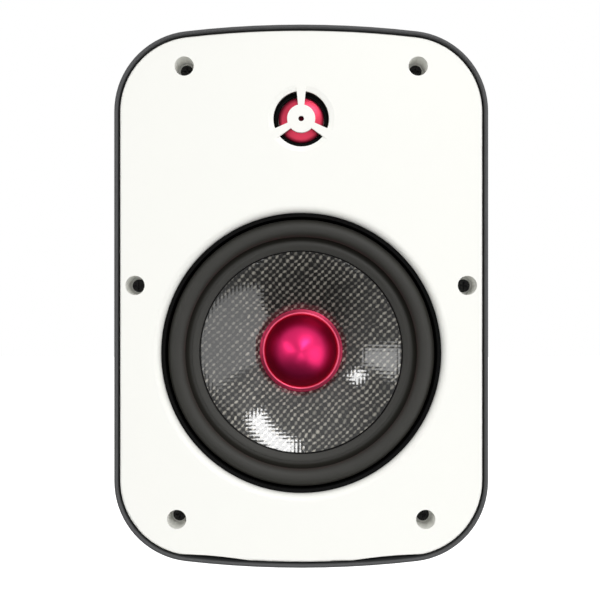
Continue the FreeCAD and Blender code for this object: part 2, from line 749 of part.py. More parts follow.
def woofer_gasket():
    """Foam ring on the basket's rim, with a lip that clamps the surround and lines the baffle's opening."""
    lining_r = WOOFER_OPENING_R - LINING_PLAY
    lip_r = lining_r - LINING_T
    front_d = BAFFLE_T - LINING_H
    clamp_d = RIM_D - RUBBER_T
    path = [(lip_r, front_d), (lining_r, front_d), (lining_r, BAFFLE_T), (BASKET_R, BAFFLE_T)]
    path += [(BASKET_R, RIM_D), (GASKET_IN_R, RIM_D), (GASKET_IN_R, clamp_d), (lip_r, clamp_d)]
    ring = turned(path, WOOFER_Z)
    return ring.cut([rod(x, z, SCREW_HOLE_R, at(BAFFLE_T), at(RIM_D)) for x, z in woofer_screw_places()])


def woofer_screws():
    seat = RIM_D + BASKET_T
    bite = GASKET_T + BASKET_T + SHORT_BITE
    return Part.makeCompound([
        screw(x, z, SCREW_HEAD_R, SCREW_HEAD_H, SCREW_R, at(seat), bite, -1)
        for x, z in woofer_screw_places()
    ])


def woofer_top_plate():
    return tube(0, WOOFER_Z, PLATE_R, COIL_R + MAGNET_GAP, at(PLATE_D), at(MAGNET_D))


def woofer_magnet():
    return tube(0, WOOFER_Z, MAGNET_R, MAGNET_HOLE_R, at(MAGNET_D), at(BACK_PLATE_D))


def woofer_yoke():
    """Back plate and vented centre pole in one forging."""
    end = BACK_PLATE_D + BACK_PLATE_T
    plate = rod(0, WOOFER_Z, PLATE_R, at(BACK_PLATE_D), at(end))
    pole = rod(0, WOOFER_Z, POLE_R, at(PLATE_D), at(BACK_PLATE_D))
    return plate.fuse(pole).cut(rod(0, WOOFER_Z, POLE_VENT_R, at(PLATE_D), at(end)))


def tag_strip_place():
    """Middle of the tag strip on the back of the basket's shelf, as z and the depth of its seat."""
    return WOOFER_Z + SHELF_IN_R + SHELF_W / 2, SHELF_D + BASKET_T


def woofer_tag_strip():
    z, seat = tag_strip_place()
    corner = Vector(-TAG_STRIP_L / 2, at(seat), z - TAG_STRIP_W / 2)
    return Part.makeBox(TAG_STRIP_L, TAG_STRIP_T, TAG_STRIP_W, corner)


def woofer_tags():
    z, seat = tag_strip_place()
    tags = []
    for side in (-1, 1):
        corner = Vector(side * TAG_PITCH / 2 - TAG_W / 2, at(seat + TAG_STRIP_T), z - TAG_T / 2)
        tags.append(Part.makeBox(TAG_W, TAG_H, TAG_T, corner))
    return Part.makeCompound(tags)


# Tweeter

def tweeter_screw_places():
    return list(around(TWEETER_SCREWS, TWEETER_SCREW_R, TWEETER_Z, TWEETER_SCREW_TURN))


def tweeter_faceplate():
    """Flange behind the panel, with a nose that fills the panel's pocket and a throat before the dome."""
    flange_end = TWEETER_FLANGE_D + TWEETER_FLANGE_T
    path = [(TWEETER_OPENING_R, NOSE_D), (NOSE_R, NOSE_D), (NOSE_R, TWEETER_FLANGE_D)]
    path += [(TWEETER_FLANGE_R, TWEETER_FLANGE_D), (TWEETER_FLANGE_R, flange_end), (CLAMP_R, flange_end)]
    path += [(CLAMP_R, DIAPHRAGM_D), (TWEETER_OPENING_R, DIAPHRAGM_D)]
    plate = turned(path, TWEETER_Z)
    holes = [
        rod(x, z, SMALL_HOLE_R, at(TWEETER_FLANGE_D), at(flange_end)) for x, z in tweeter_screw_places()
    ]
    return plate.cut(holes)


def tweeter_gasket():
    ring = tube(
        0, TWEETER_Z, TWEETER_FLANGE_R, NOSE_R + NOSE_GAP, at(BAFFLE_T), at(TWEETER_FLANGE_D)
    )
    holes = [rod(x, z, SMALL_HOLE_R, at(BAFFLE_T), at(TWEETER_FLANGE_D)) for x, z in tweeter_screw_places()]
    return ring.cut(holes)


def tweeter_screws():
    seat = at(TWEETER_FLANGE_D + TWEETER_FLANGE_T)
    bite = TWEETER_FLANGE_T + TWEETER_GASKET_T + SHORT_BITE
    return Part.makeCompound([
        screw(x, z, SMALL_HEAD_R, SMALL_HEAD_H, SMALL_SCREW_R, seat, bite, -1)
        for x, z in tweeter_screw_places()
    ])


def tweeter_dome():
    """Shallow metal dome with a narrow flat rim on its coil."""
    skirt_r = TWEETER_COIL_IN_R
    radius = (skirt_r ** 2 + DOME_HEIGHT ** 2) / (2 * DOME_HEIGHT)
    middle_d = DIAPHRAGM_D - DOME_HEIGHT + radius
    inner = radius - DIAPHRAGM_T
    inner_r = math.sqrt(inner ** 2 - (middle_d - DIAPHRAGM_BACK_D) ** 2)

    def on_dome(r, size):
        return (r, middle_d - math.sqrt(size ** 2 - r ** 2))

    path = [(0, DIAPHRAGM_D - DOME_HEIGHT)]
    path.append(arc(on_dome(skirt_r / 2, radius), (skirt_r, DIAPHRAGM_D)))
    path += [(DOME_R, DIAPHRAGM_D), (DOME_R, DIAPHRAGM_BACK_D), (inner_r, DIAPHRAGM_BACK_D)]
    path.append(arc(on_dome(inner_r / 2, inner), on_dome(0, inner)))
    return turned(path, TWEETER_Z)


def tweeter_surround():
    """Small half roll around the dome, clamped between the faceplate and the yoke."""
    inner_r = DOME_R + BOND_GAP
    roll_mid_r = inner_r + DOME_ROLL_R
    root_d = DIAPHRAGM_BACK_D
    inner_roll = DOME_ROLL_R - DIAPHRAGM_T
    foot = math.sqrt(DOME_ROLL_R ** 2 - DIAPHRAGM_T ** 2)
    path = [(inner_r, root_d)]
    path.append(arc((roll_mid_r, root_d - DOME_ROLL_R), (roll_mid_r + foot, DIAPHRAGM_D)))
    path += [(CLAMP_R, DIAPHRAGM_D), (CLAMP_R, root_d), (roll_mid_r + inner_roll, root_d)]
    path.append(arc((roll_mid_r, root_d - inner_roll), (roll_mid_r - inner_roll, root_d)))
    return turned(path, TWEETER_Z)


def tweeter_voice_coil():
    return tube(
        0, TWEETER_Z, DOME_R, TWEETER_COIL_IN_R, at(DIAPHRAGM_BACK_D), at(DIAPHRAGM_BACK_D + TWEETER_COIL_H)
    )


def tweeter_pole_plate():
    return rod(0, TWEETER_Z, POLE_PLATE_R, at(POLE_PLATE_D), at(POLE_PLATE_D + POLE_PLATE_T))


def tweeter_magnet():
    radius = POLE_PLATE_R - TWEETER_MAGNET_INSET
    return rod(0, TWEETER_Z, radius, at(POLE_PLATE_D + POLE_PLATE_T), at(YOKE_FLOOR_D))


def tweeter_yoke():
    """Steel cup whose rim clamps the surround."""
    end = YOKE_FLOOR_D + YOKE_FLOOR_T
    cup = rod(0, TWEETER_Z, CLAMP_R, at(DIAPHRAGM_BACK_D), at(end))
    rim_in_r = TWEETER_OPENING_R + BOND_GAP
    relief = rod(0, TWEETER_Z, rim_in_r, at(DIAPHRAGM_BACK_D), at(POLE_PLATE_D))
    return cup.cut([rod(0, TWEETER_Z, YOKE_IN_R, at(POLE_PLATE_D), at(YOKE_FLOOR_D)), relief])


# Terminal cup on the back

def cup_block(grow, corner_r, start, end):
    """Block of the cup's outer size, grown by so much on each side, between two distances from the back."""
    return round_rect(0, TERMINAL_Z, CUP_OUT_W + 2 * grow, CUP_OUT_H + 2 * grow, corner_r, -start, -end)


def cup_flange(grow, start, end):
    """Block of the size of the cup's flange, grown by so much on each side."""
    return cup_block(CUP_FLANGE_W + grow, CUP_FLANGE_CORNER_R + grow, start, end)


def cup_body(grow, start, end):
    """Block of the size of the cup behind its flange, grown by so much on each side."""
    return cup_block(grow, CUP_CORNER_R + grow, start, end)


def cup_screw_places():
    x = CUP_OUT_W / 2 + CUP_FLANGE_W - CUP_SCREW_INSET
    z = CUP_OUT_H / 2 + CUP_FLANGE_W - CUP_SCREW_INSET
    return [(i * x, TERMINAL_Z + j * z) for i in (-1, 1) for j in (-1, 1)]


def lever_places():
    return (-LEVER_PITCH / 2, LEVER_PITCH / 2)


def spring_z():
    """Height at which the contact springs bear on the levers."""
    return PIN_Z - SPRING_REACH


def terminal_cup():
    """Moulded cup, open to the back, with pin seats in its sides and slots and wire holes in its floor."""
    solid = cup_flange(0, 0, CUP_FLANGE_T).fuse(cup_body(0, 0, CUP_DEPTH + CUP_WALL))
    cuts = [round_rect(0, TERMINAL_Z, CUP_W, CUP_H, CUP_CORNER_R - CUP_WALL, 0, -CUP_DEPTH)]
    for x, z in cup_screw_places():
        cuts.append(rod(x, z, SMALL_HOLE_R, 0, -CUP_FLANGE_T))
        cuts.append(rod(x, z, SMALL_HEAD_R + PIN_PLAY, 0, -HEAD_SINK))
    pin_l = CUP_W + 2 * PIN_SEAT
    cuts.append(Part.makeCylinder(PIN_R, pin_l, Vector(-pin_l / 2, -PIN_IN, PIN_Z), Vector(1, 0, 0)))
    hole_z = TERMINAL_Z - CUP_H / 2 + WIRE_HOLE_RISE
    for x in lever_places():
        cuts.append(rod(x, hole_z, WIRE_HOLE_R, -CUP_DEPTH, -CUP_DEPTH - CUP_WALL))
        slot = Vector(x - SPRING_W / 2, -CUP_DEPTH - CUP_WALL, spring_z())
        cuts.append(Part.makeBox(SPRING_W, CUP_WALL, SPRING_T, slot))
    return solid.cut(cuts)


def terminal_gasket():
    ring = cup_flange(0, CUP_FLANGE_T, CUP_SEAT).cut(cup_body(CUP_PLAY, CUP_FLANGE_T, CUP_SEAT))
    return ring.cut([rod(x, z, SMALL_HOLE_R, -CUP_FLANGE_T, -CUP_SEAT) for x, z in cup_screw_places()])


def terminal_screws():
    return Part.makeCompound([
        screw(x, z, SMALL_HEAD_R, SMALL_HEAD_H, SMALL_SCREW_R, -HEAD_SINK, SMALL_BITE, -1)
        for x, z in cup_screw_places()
    ])


def lever(x):
    """Push lever: a barrel on the pin, and a finger tab whose tip turns outward."""
    left = x - LEVER_W / 2
    barrel = Part.makeCylinder(BARREL_R, LEVER_W, Vector(left, -PIN_IN, PIN_Z), Vector(1, 0, 0))
    tip_z = PIN_Z - LEVER_L
    bend_z = tip_z + LEVER_TIP_L
    front = -LEVER_FRONT
    corners = [
        (front, PIN_Z),
        (front, bend_z),
        (front + LEVER_TIP_RISE, tip_z),
        (front + LEVER_TIP_RISE - LEVER_T, tip_z),
        (front - LEVER_T, bend_z),
        (front - LEVER_T, PIN_Z),
    ]
    points = [Vector(left, y, z) for y, z in corners]
    tab = Part.Face(Part.makePolygon(points + points[:1])).extrude(Vector(LEVER_W, 0, 0))
    bore_r = PIN_R + PIN_PLAY
    bore = Part.makeCylinder(bore_r, LEVER_W, Vector(left, -PIN_IN, PIN_Z), Vector(1, 0, 0))
    return barrel.fuse(tab).cut(bore).removeSplitter()


def lever_red():
    return lever(lever_places()[0])


def lever_black():
    return lever(lever_places()[1])


def lever_pin():
    length = CUP_W + 2 * PIN_SEAT
    return Part.makeCylinder(PIN_R, length, Vector(-length / 2, -PIN_IN, PIN_Z), Vector(1, 0, 0))


def contact_springs():
    """Two bent bronze strips: a solder tag inside, and a hairpin that presses its lever outward."""
    z = spring_z()
    bear = LEVER_FRONT + LEVER_T + BOND_GAP
    floor = CUP_DEPTH - SPRING_T
    middle_side = [
        (z, -CUP_DEPTH - CUP_WALL - SPRING_TAG),
        (z, -floor),
        (z + SPRING_BEND, -floor),
        (z, -bear),
    ]
    springs = []
    for x in lever_places():
        points = [Vector(x - SPRING_W / 2, y, height) for height, y in thickened(middle_side, SPRING_T)]
        springs.append(Part.Face(Part.makePolygon(points + points[:1])).extrude(Vector(SPRING_W, 0, 0)))
    return Part.makeCompound(springs)


# Crossover on the back wall

def board_screw_places():
    x = BOARD_W / 2 - BOARD_SCREW_INSET
    z = BOARD_H / 2 - BOARD_SCREW_INSET
    return [(i * x, BOARD_Z + j * z) for i in (-1, 1) for j in (-1, 1)]


def crossover_board():
    corner = Vector(-BOARD_W / 2, -BOARD_TOP, BOARD_Z - BOARD_H / 2)
    board = Part.makeBox(BOARD_W, BOARD_T, BOARD_H, corner)
    return board.cut([rod(x, z, SMALL_HOLE_R, -BOARD_TOP, -BOARD_IN) for x, z in board_screw_places()])


def crossover_screws():
    return Part.makeCompound([
        screw(x, z, SMALL_HEAD_R, SMALL_HEAD_H, SMALL_SCREW_R, -BOARD_TOP, SMALL_BITE, 1)
        for x, z in board_screw_places()
    ])


def inductor_bobbins():
    bobbins = []
    for x, rise, radius, height in COILS:
        z = BOARD_Z + rise
        base = rod(x, z, radius, -BOARD_TOP, -BOARD_TOP - BOBBIN_FLANGE_T)
        core = rod(x, z, BOBBIN_CORE_R, -BOARD_TOP, -BOARD_TOP - height)
        top = rod(x, z, radius, BOBBIN_FLANGE_T - BOARD_TOP - height, -BOARD_TOP - height)
        bobbins.append(base.fuse([core, top]).removeSplitter())
    return Part.makeCompound(bobbins)


def inductor_windings():
    windings = []
    for x, rise, radius, height in COILS:
        start = -BOARD_TOP - BOBBIN_FLANGE_T
        end = BOBBIN_FLANGE_T - BOARD_TOP - height
        windings.append(tube(x, BOARD_Z + rise, radius - WINDING_INSET, BOBBIN_CORE_R, start, end))
    return Part.makeCompound(windings)


def crossover_capacitors():
    """Upright cans, each with a crimp groove near its foot."""
    cans = []
    groove_start = -BOARD_TOP - GROOVE_RISE
    for x, rise, radius, height in CANS:
        z = BOARD_Z + rise
        groove = tube(x, z, radius, radius - GROOVE_DEPTH, groove_start, groove_start - GROOVE_W)
        cans.append(rod(x, z, radius, -BOARD_TOP, -BOARD_TOP - height).cut(groove))
    return Part.makeCompound(cans)


def crossover_resistor():
    z = BOARD_Z + RESISTOR_Z
    corner = Vector(RESISTOR_X - RESISTOR_W / 2, -BOARD_TOP - RESISTOR_H, z - RESISTOR_H / 2)
    return Part.makeBox(RESISTOR_W, RESISTOR_H, RESISTOR_H, corner)


PARTS = [
    cabinet, front_baffle, baffle_seal, baffle_screws, bracket_inserts,
    woofer_basket, woofer_gasket, woofer_screws, woofer_surround, woofer_cone, dust_cap,
    voice_coil_former, voice_coil, woofer_spider, woofer_top_plate, woofer_magnet, woofer_yoke,
    woofer_tag_strip, woofer_tags,
    tweeter_faceplate, tweeter_gasket, tweeter_screws, tweeter_dome, tweeter_surround,
    tweeter_voice_coil, tweeter_pole_plate, tweeter_magnet, tweeter_yoke,
    terminal_cup, terminal_gasket, terminal_screws, lever_red, lever_black, lever_pin, contact_springs,
    crossover_board, crossover_screws, inductor_bobbins, inductor_windings,
    crossover_capacitors, crossover_resistor,
]

os.makedirs("parts", exist_ok=True)
for make in PARTS:
    shape = make()
    if len(shape.Solids) == 1:
        shape = shape.Solids[0]
    shape.exportStep(f"parts/{make.__name__}.step")
    print(make.__name__, len(shape.Solids), round(shape.Volume, 1), shape.isValid())
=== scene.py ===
# Wall speaker: finishes, fine detail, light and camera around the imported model, in metres.
import json
import math

import bmesh
import bpy
import numpy as np
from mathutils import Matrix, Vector

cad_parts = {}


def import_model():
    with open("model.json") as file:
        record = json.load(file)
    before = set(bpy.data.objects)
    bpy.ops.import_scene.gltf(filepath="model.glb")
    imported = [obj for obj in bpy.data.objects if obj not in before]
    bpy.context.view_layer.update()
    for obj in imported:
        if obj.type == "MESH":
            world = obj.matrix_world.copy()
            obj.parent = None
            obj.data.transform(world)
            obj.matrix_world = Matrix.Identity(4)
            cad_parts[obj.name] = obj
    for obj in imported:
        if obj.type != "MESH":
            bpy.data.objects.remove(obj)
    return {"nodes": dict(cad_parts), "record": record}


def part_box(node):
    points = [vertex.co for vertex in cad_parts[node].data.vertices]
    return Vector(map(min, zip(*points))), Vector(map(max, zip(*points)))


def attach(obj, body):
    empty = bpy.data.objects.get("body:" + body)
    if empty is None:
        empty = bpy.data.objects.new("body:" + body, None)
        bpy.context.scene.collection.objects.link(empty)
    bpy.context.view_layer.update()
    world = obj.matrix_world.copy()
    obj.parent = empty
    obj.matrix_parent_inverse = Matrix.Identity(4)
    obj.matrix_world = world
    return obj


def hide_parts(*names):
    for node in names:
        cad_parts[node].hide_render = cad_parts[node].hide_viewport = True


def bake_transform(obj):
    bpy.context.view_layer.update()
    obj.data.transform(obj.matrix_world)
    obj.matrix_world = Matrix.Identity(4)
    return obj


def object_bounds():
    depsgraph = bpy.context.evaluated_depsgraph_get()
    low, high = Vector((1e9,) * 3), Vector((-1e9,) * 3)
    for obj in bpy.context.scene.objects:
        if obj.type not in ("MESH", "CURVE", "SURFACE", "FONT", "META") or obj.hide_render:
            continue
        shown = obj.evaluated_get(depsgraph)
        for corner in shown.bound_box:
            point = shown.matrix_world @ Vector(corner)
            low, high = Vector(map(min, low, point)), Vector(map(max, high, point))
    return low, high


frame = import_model()
cad_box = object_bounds()
nodes = frame["nodes"]
MM = 0.001

# Camera, set so that the lip's outline lands where the photograph has it
FRAME_PX = 600
PX = 0.5072 * MM
OUTLINE_MIDDLE_PX = (301.2, 296.2)
CAMERA_GAP = 450 * MM
CAMERA_NEAR = 10 * MM
SENSOR = 36.0

# Pale floor, white to the camera, and white in gloss from the speaker back
FLOOR_DROP = 160 * MM
FLOOR_HALF_W = 6.0
FLOOR_FRONT_Y = -0.05
FLOOR_BACK_Y = 4.0
FLOOR_TONE = (0.9, 0.9, 0.9)
FLOOR_ROUGHNESS = 0.9
NEAR_GLOW = 0.62
FAR_GLOW = 0.78
FAR_Y = 1.2
BEHIND_START_Y = -0.25
BEHIND_FULL_Y = 0.05

# Plain world by the height of a direction, white to the camera, and white in gloss where it lies behind
GROUND_LEVEL = 0.08
GROUND_TOP = -0.75
ROOM_LEVEL = 0.45
ROOM_FOOT = -0.25
OVERHEAD_EXTRA = 0.36
OVERHEAD_START = 0.3
OVERHEAD_FULL = 0.6
BEHIND_FULL = 0.2

# Lamps: name, direction from the middle of the woofer, distance, width, height and power
LAMPS = (
    ("front", (-0.02, -0.985, -0.13), 1.4, 1.0, 1.35, 2.7),
    ("low", (0.0, -0.875, -0.484), 1.0, 0.5, 0.12, 0.6),
    ("key", (0.233, -0.819, 0.524), 1.8, 0.756, 0.252, 7.1),
    ("window", (-0.72, -0.64, 0.27), 1.0, 0.10, 0.17, 0.6),
    ("pane", (-0.665, -0.745, 0.0), 1.0, 0.31, 0.20, 0.6),
    ("fill", (0.73, -0.63, -0.26), 1.1, 0.7, 1.1, 3.5),
    ("fill_top", (0.70, -0.60, 0.36), 1.1, 0.7, 0.35, 0.36),
)

# Cone and the relief of its plain weave, which has one thread to a cell
CONE_DEPTH = 20.3 * MM
CONE_FLARE = 1.6 * MM
CONE_T = 0.9 * MM
CONE_RIM_ROWS = 4
CONE_BACK_ROWS = 8
THREAD_W = 1.95 * MM
THREAD_CROWN = 0.035 * MM
CELL_MIDDLE = 0.5
CROWN_FLAT = 0.35
CROWN_DIP = 0.9
WEAVE_IN_R = 19.5 * MM
WEAVE_OUT_R = 54.5 * MM
WEAVE_STEP = 0.39 * MM
WEAVE_TURNS = 840

# Look of the weave: silver and black threads of fine fibres, drifting off a straight grid, under lacquer
LACQUER = {"Coat Weight": 1.0, "Coat Roughness": 0.07, "Coat IOR": 1.7, "Specular IOR Level": 0.1}
WEAVE_TONE = (0.05, 0.05, 0.05)
WEAVE_ROUGHNESS = 0.4
SILVER_TONE = (0.51, 0.485, 0.42)
SILVER_METAL = 0.8
SILVER_LEAST = 0.35
SILVER_MOST = 1.3
BLACK_LOW_TONE = (0.002, 0.002, 0.002)
BLACK_HIGH_TONE = (0.012, 0.012, 0.011)
THREAD_SLANT = 0.6
THREAD_SIDE_POWER = 0.9
THREAD_END_POWER = 0.6
DRIFT = 0.8
DRIFT_SIZE = 9 * MM
DRIFT_DETAIL = 1.0
DRIFT_STRETCH = (1, 1, 1.3)
FIBRE_W = 0.16 * MM
FIBRE_DETAIL = 2.0
FIBRE_ALONG = 0.06
FIBRE_DARKEST = 0.2

# Painted shade on the cone's left, fading downwards, which takes out the silver where a lamp's
# reflection washes the threads into a smooth grey
LEFT_PAINTED_SHADE = 0.6
LEFT_PAINTED_SHADE_START = 18 * MM
LEFT_PAINTED_SHADE_FULL = 42 * MM
LEFT_PAINTED_SHADE_FALL = 25 * MM

# Painted rings: painted shadow in the gaps at the cone's edge and round the woofer's surround, painted
# shade in the surround's valley, on the tweeter's dome and behind its hub, a painted dark reflection on
# the dust cap's foot, and painted highlights on the cap's bead and flange
SHARP = 0.01 * MM
# Painted shadow in the gaps at the cone's edge and round the surround's roll, out to its flange
CONE_EDGE_IN_R = 52.35 * MM
CONE_EDGE_OUT_R = 53.25 * MM
FLANGE_R = 73.5 * MM
GAP_PAINTED_SHADOW = (0.001, 0.001, 0.001)
# Painted shade in the surround's valley, fading in from the roll
VALLEY_R = 58.6 * MM
VALLEY_FADE = 2.0 * MM
VALLEY_PAINTED_SHADE = (0.018, 0.0172, 0.0145)
# Painted dark reflection on the dust cap's foot, fading in towards the bead
CAP_FOOT_R = 16.5 * MM
CAP_FOOT_FADE = 5.5 * MM
CAP_FOOT_PAINTED_REFLECTION = (0.42, 0.003, 0.035)
# Painted highlights on the dust cap's bead and on its flange
BEAD_INSET = 2.0 * MM
BEAD_W = 1.2 * MM
BEAD_PAINTED_HIGHLIGHT = (0.80, 0.105, 0.20)
CAP_FLANGE_PAINTED_HIGHLIGHT = (0.95, 0.08, 0.19)
# Painted shade on the tweeter dome's foot and on its middle behind the hub
DOME_PAINTED_SHADE = (0.06, 0.002, 0.008)
DOME_FOOT_FADE = 2.2 * MM
HUB_SHADE_R = 3.0 * MM

# Clouds and grain of the plain finishes
CLOUD_SIZE = 12 * MM
CLOUD_DETAIL = 4.0
GRAIN_DETAIL = 3.0
GLOSS_SPREAD = 0.15

# Outer and inner radius of the surround's roll
ROLL_OUT_R = 68.5 * MM
ROLL_IN_R = 59.7 * MM

# Terminals and broken edges
LEVER_FACE_Y = -10.5 * MM
SIGN_Z = -64.0 * MM
SIGN_L = 4.4 * MM
SIGN_W = 1.0 * MM
SIGN_RISE = 0.2 * MM
EDGE_W = 0.2 * MM
EDGE_STEPS = 2
EDGE_TURN = math.radians(40)

# Bracket inserts and the screw thread in their bores
INSERT_PITCH = 60 * MM
INSERT_L = 12 * MM
INSERT_R = 4.0 * MM
INSERT_BORE_R = 2.5 * MM
SCREW_PITCH = 1.0 * MM
SCREW_DEPTH = 0.45 * MM
SCREW_ROWS = 8
SCREW_STEPS = 40

# Sections read from the turned pieces
WELD = 1e-7
CORNER_TURN = math.radians(25)
SOFT_TURN = math.radians(55)
RING_STEPS = 360

# Colour sockets of a mix node
MIX_LOW = 6
MIX_HIGH = 7
MIX_OUT = 2

# Places taken from the frame
cone_low, cone_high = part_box("woofer_cone")
former_low, former_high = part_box("voice_coil_former")
cap_low, cap_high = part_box("dust_cap")
dome_low, dome_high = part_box("tweeter_dome")
baffle_low, baffle_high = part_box("front_baffle")
WOOFER_Z = (cone_low.z + cone_high.z) / 2
TWEETER_Z = (dome_low.z + dome_high.z) / 2
CONE_R = (cone_high.x - cone_low.x) / 2
CAP_R = (cap_high.x - cap_low.x) / 2
BEAD_IN_R = CAP_R - BEAD_INSET - BEAD_W / 2
BEAD_OUT_R = BEAD_IN_R + BEAD_W
DOME_R = (dome_high.x - dome_low.x) / 2
FORMER_R = (former_high.x - former_low.x) / 2
FACE_Y = baffle_low.y


# Meshes

def add_mesh(name, points, faces):
    """New mesh in the scene."""
    mesh = bpy.data.meshes.new(name)
    mesh.from_pydata(points, [], faces)
    made = bpy.data.objects.new(name, mesh)
    bpy.context.scene.collection.objects.link(made)
    return made


def cleaned(piece, corner=CORNER_TURN):
    """Welds the mesh, turns its faces outward and shades it smooth but for its corners."""
    work = bmesh.new()
    work.from_mesh(piece.data)
    bmesh.ops.remove_doubles(work, verts=work.verts, dist=WELD)
    bmesh.ops.recalc_face_normals(work, faces=work.faces)
    for edge in work.edges:
        edge.smooth = len(edge.link_faces) == 2 and edge.calc_face_angle() < corner
    for face in work.faces:
        face.smooth = True
    work.to_mesh(piece.data)
    work.free()
    return piece


def full_turn(steps):
    """Angles once round."""
    return np.linspace(0, 2 * math.pi, steps, endpoint=False)


def ring_faces(rows, steps):
    """Quads between rows of points that each go once round, and from the last row to the first."""
    row = np.arange(rows)[:, None]
    step = np.arange(steps)[None, :]
    below = row * steps
    above = (row + 1) % rows * steps
    after = (step + 1) % steps
    quads = np.stack([below + step, below + after, above + after, above + step], axis=-1)
    return quads.reshape(-1, 4).tolist()


def ringed(name, radius, y, turn, middle_z, corner=CORNER_TURN):
    """Piece about an axis along Y, from the radius and Y of the rows of points round its section."""
    x = radius * np.cos(turn)
    z = middle_z + radius * np.sin(turn)
    points = np.stack([x, np.broadcast_to(y, x.shape), z], axis=-1).reshape(-1, 3)
    return cleaned(add_mesh(name, points.tolist(), ring_faces(*x.shape)), corner)


def turned(name, section, middle_z, corner=CORNER_TURN):
    """Piece of revolution about an axis along Y, from the radius and Y of the points of its section."""
    radius, y = np.array(section).T[:, :, None]
    return ringed(name, radius, y, full_turn(RING_STEPS), middle_z, corner)


def section_of(name, middle_z):
    """Radius and Y, in order, round the section of a turned CAD piece on its +X side."""
    work = bmesh.new()
    work.from_mesh(nodes[name].data)
    bmesh.ops.remove_doubles(work, verts=work.verts, dist=WELD)
    geometry = work.verts[:] + work.edges[:] + work.faces[:]
    cut = bmesh.ops.bisect_plane(
        work, geom=geometry, dist=WELD, plane_co=(0, 0, middle_z), plane_no=(0, 0, 1)
    )["geom_cut"]
    edges = [e for e in cut if isinstance(e, bmesh.types.BMEdge)]
    links = {}
    for edge in edges:
        a, b = edge.verts
        if min(a.co.x, b.co.x) > -WELD:
            links.setdefault(a, []).append(b)
            links.setdefault(b, []).append(a)
    here = min(links, key=lambda v: (len(links[v]), v.co.x, v.co.y))
    seen = []
    while here is not None:
        seen.append(here)
        here = next((v for v in links[here] if v not in seen), None)
    section = [(v.co.x, v.co.y) for v in seen]
    work.free()
    return section


# Shader nodes

def shader_of(made):
    """Main shader of a material."""
    return made.node_tree.nodes["Principled BSDF"]


def node(tree, kind, **settings):
    """New shader node. A setting is a property of the node, or else one of its inputs."""
    made = tree.nodes.new("ShaderNode" + kind)
    for name, value in settings.items():
        if hasattr(made, name):
            setattr(made, name, value)
        else:
            made.inputs[name].default_value = value
    return made


def feed(tree, socket, value):
    """Links a socket to another one, or sets it to a number or a colour."""
    if isinstance(value, bpy.types.NodeSocket):
        tree.links.new(value, socket)
    else:
        socket.default_value = (*value, 1) if socket.type == "RGBA" else value


def calc(tree, operation, *values):
    """Result of a sum over sockets and plain numbers."""
    made = node(tree, "Math", operation=operation)
    for socket, value in zip(made.inputs, values):
        feed(tree, socket, value)
    return made.outputs[0]


def split(tree, vector):
    """X, Y and Z of a vector, by their names."""
    made = node(tree, "SeparateXYZ")
    tree.links.new(vector, made.inputs["Vector"])
    return made.outputs


def place(tree, stretch=(1, 1, 1)):
    """Point on the piece in metres, stretched along the axes."""
    point = node(tree, "TexCoord")
    scaled = node(tree, "Mapping", Scale=stretch)
    tree.links.new(point.outputs["Object"], scaled.inputs["Vector"])
    return scaled.outputs["Vector"]


def noise(tree, size, detail, stretch=(1, 1, 1)):
    """Noise from 0 to 1 with lumps of about this size, in metres."""
    made = node(tree, "TexNoise", Scale=1 / size, Detail=detail)
    tree.links.new(place(tree, stretch), made.inputs["Vector"])
    return made.outputs["Fac"]


def mixed(tree, factor, low, high):
    """Colour between low and high, each a colour or a socket, by a factor from 0 to 1."""
    made = node(tree, "Mix", data_type="RGBA")
    feed(tree, made.inputs[MIX_LOW], low)
    feed(tree, made.inputs[MIX_HIGH], high)
    tree.links.new(factor, made.inputs["Factor"])
    return made.outputs[MIX_OUT]


def rising(tree, value, start, end, low, high, curve="SMOOTHSTEP"):
    """Rise from low to high while the value goes from start to end."""
    made = node(tree, "MapRange", interpolation_type=curve)
    for socket, number in (("From Min", start), ("From Max", end), ("To Min", low), ("To Max", high)):
        made.inputs[socket].default_value = number
    tree.links.new(value, made.inputs["Value"])
    return made.outputs["Result"]


def ranged(tree, value, low, high):
    """Value from 0 to 1, mapped evenly to the range from low to high."""
    return rising(tree, value, 0.0, 1.0, low, high, "LINEAR")


def arched(tree, value, power):
    """Arch over each whole step of the value, from 0 at its ends to 1 in its middle."""
    wave = calc(tree, "SINE", calc(tree, "MULTIPLY", value, math.pi))
    return calc(tree, "POWER", calc(tree, "ABSOLUTE", wave), power)


def bump(made, height, depth):
    """Raises the surface by up to this depth, in metres, where height is 1."""
    tree = made.node_tree
    relief = node(tree, "Bump", Distance=depth)
    tree.links.new(height, relief.inputs["Height"])
    tree.links.new(relief.outputs["Normal"], shader_of(made).inputs["Normal"])


# Finishes

def new_material(name, colour, roughness, metallic=0.0, extra=None):
    """Material with plain shader values, the extra ones by the names of their sockets."""
    made = bpy.data.materials.new(name)
    made.use_nodes = True
    shader = shader_of(made)
    shader.inputs["Base Color"].default_value = (*colour, 1)
    shader.inputs["Roughness"].default_value = roughness
    shader.inputs["Metallic"].default_value = metallic
    for socket, value in (extra or {}).items():
        shader.inputs[socket].default_value = value
    return made


def finish(name, colour, roughness, metallic, mottle, grain, depth, extra=None):
    """Finish with a cloudy tone, an uneven gloss and a fine grain of a size and depth in millimetres."""
    made = new_material(name, colour, roughness, metallic, extra)
    tree = made.node_tree
    shader = shader_of(made)
    cloud = noise(tree, CLOUD_SIZE, CLOUD_DETAIL)
    dark = [c * (1 - mottle) for c in colour]
    light = [min(1.0, c * (1 + mottle)) for c in colour]
    tree.links.new(mixed(tree, cloud, dark, light), shader.inputs["Base Color"])
    speck = noise(tree, grain * MM, GRAIN_DETAIL)
    least = roughness * (1 - GLOSS_SPREAD)
    most = min(1.0, roughness * (1 + GLOSS_SPREAD))
    tree.links.new(ranged(tree, speck, least, most), shader.inputs["Roughness"])
    bump(made, speck, depth * MM)
    return made


